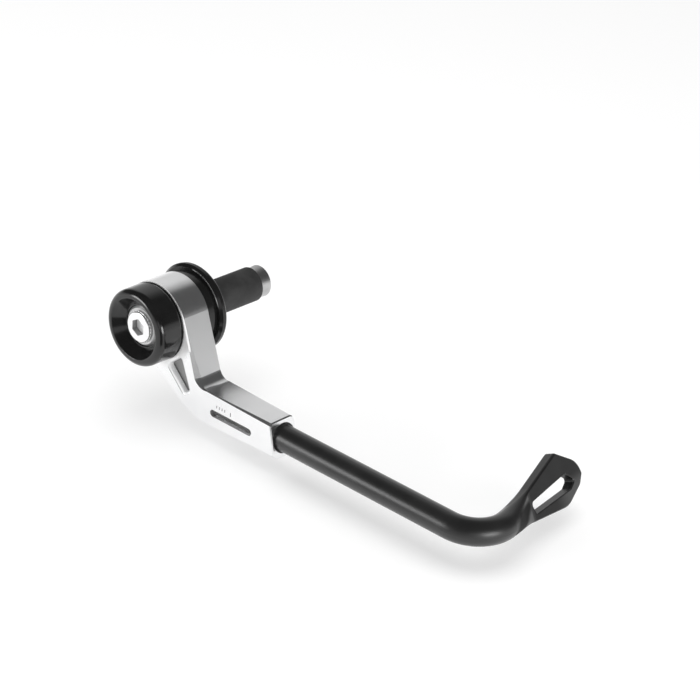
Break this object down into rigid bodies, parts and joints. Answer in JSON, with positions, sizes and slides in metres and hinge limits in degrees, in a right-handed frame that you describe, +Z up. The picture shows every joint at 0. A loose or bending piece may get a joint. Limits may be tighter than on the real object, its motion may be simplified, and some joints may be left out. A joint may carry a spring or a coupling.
{
  "type": "bar-end lever guard",
  "caption": "Bar-end lever guard: machined bracket clamped on the bar's axis under a dished cap, with a bent round rod whose tip is pressed into a slotted blade.",
  "frame": {"origin": "on the handlebar's axis, at the flange face that rests on the end of the bar", "axes": "+X along the bar, outboard; +Y forward, along the guard rod; +Z up"},
  "size_m": [0.0808, 0.1763, 0.0509],
  "materials": {
    "black_anodised": "turned, black anodised",
    "black_gloss": "turned, gloss black anodised",
    "turned_steel": "turned",
    "bright_steel": "bright plated",
    "black_rubber": "moulded",
    "machined_aluminium": "machined, silver anodised",
    "black_oxide_steel": "black oxide",
    "black_satin": "satin black anodised"
  },
  "bodies": {
    "bar_end_stack": {"flange_spacer": "black_anodised", "end_cap": "black_gloss", "bolt_washer": "turned_steel", "cap_bolt": "bright_steel", "expander_washer": "turned_steel", "expander_bush": "black_rubber", "expander_cone": "turned_steel"},
    "bracket_arm": {"bracket": "machined_aluminium", "rod_set_screws": "black_oxide_steel"},
    "rod": {"guard_rod": "black_satin"}
  },
  "joints": [
    {"name": "bracket_angle", "type": "hinge", "parent": "bar_end_stack", "child": "bracket_arm", "pos_m": [0.014, 0, 0], "axis": [1, 0, 0], "continuous": true},
    {"name": "rod_reach", "type": "slide", "parent": "bracket_arm", "child": "rod", "axis": [0, 1, 0], "range_m": [-0.003, 0.013]}
  ]
}
